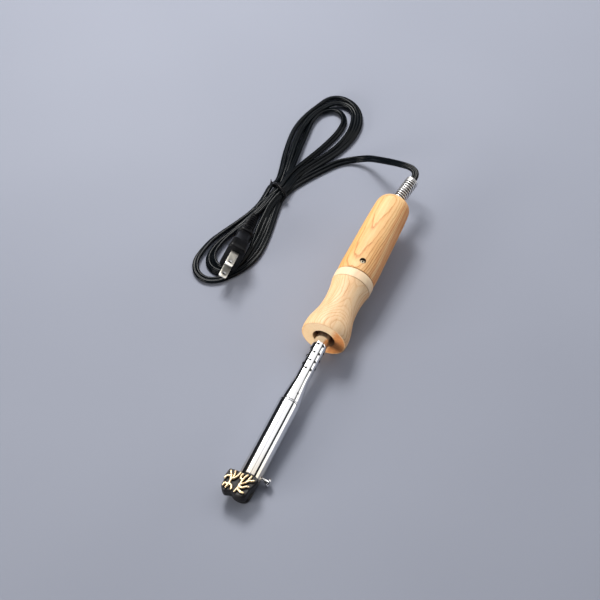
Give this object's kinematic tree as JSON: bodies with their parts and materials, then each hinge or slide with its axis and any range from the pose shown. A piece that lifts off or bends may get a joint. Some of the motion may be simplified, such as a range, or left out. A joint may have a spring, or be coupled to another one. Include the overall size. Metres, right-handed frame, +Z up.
{
  "type": "electric branding iron",
  "caption": "Electric soldering-iron type heating tool with a turned wooden handle, perforated shank, clamped stamp block and a flat mains cord tied in a hank.",
  "frame": {"origin": "on the surface the iron lies on, under the middle of the iron's own box, cord left out", "axes": "+Y along the iron in plan, from stamp to cord; +Z up; the iron's axis rises by about four degrees towards +Y"},
  "size_m": [0.146, 0.4002, 0.0401],
  "materials": {
    "handle_wood": "turned beech, thin satin varnish",
    "steel_screw": "darkened steel",
    "shank_chrome": "polished",
    "barrel_chrome": "polished, fine marks",
    "phenolic": "brown phenolic",
    "steel_inner": "plain",
    "mica": "mica sheet",
    "resistance_wire": "oxidised wire",
    "bead_ceramic": "matt",
    "terminal_brass": "bright",
    "cord_sheath": "flexible PVC, soft sheen",
    "guard_steel": "bright spring wire",
    "stamp_brass": "heat-dulled",
    "stamp_black": "blackened",
    "stamp_ridges": "rubbed bright",
    "clamp_chrome": "polished",
    "tie_plastic": "plastic-coated wire",
    "plug_plastic": "moulded PVC",
    "blade_nickel": "nickel plated"
  },
  "bodies": {
    "iron": {"handle_front": "handle_wood", "handle_rear": "handle_wood", "handle_screw": "steel_screw", "vented_shank": "shank_chrome", "shank_spacer": "phenolic", "heater_barrel": "barrel_chrome", "stamp_bush": "steel_inner", "core_tube": "steel_inner", "mica_inner": "mica", "heating_winding": "resistance_wire", "mica_outer": "mica", "element_leads": "resistance_wire", "lead_beads": "bead_ceramic", "terminal_block": "phenolic", "terminal_sleeves": "terminal_brass", "terminal_screws": "terminal_brass", "cord_conductors": "terminal_brass", "cord_crimp": "steel_inner", "cord_inner": "cord_sheath", "guard_washer": "steel_inner", "guard_spring": "guard_steel", "cord_lead": "cord_sheath", "cord_hank": "cord_sheath", "cord_tie": "tie_plastic", "plug_body": "plug_plastic", "plug_blades": "blade_nickel", "plug_relief": "plug_plastic"},
    "stamp": {"stamp_stud": "stamp_brass", "stamp_block": "stamp_black", "stamp_relief": "stamp_ridges"},
    "clamp": {"clamp_screw": "clamp_chrome"}
  },
  "joints": [
    {"name": "stamp_slide", "type": "slide", "parent": "iron", "child": "stamp", "axis": [0, -0.9974, -0.0722], "range_m": [0, 0.036]},
    {"name": "clamp_screw_back_off", "type": "slide", "parent": "iron", "child": "clamp", "axis": [0.9511, 0.0223, -0.3082], "range_m": [0, 0.0024]}
  ]
}
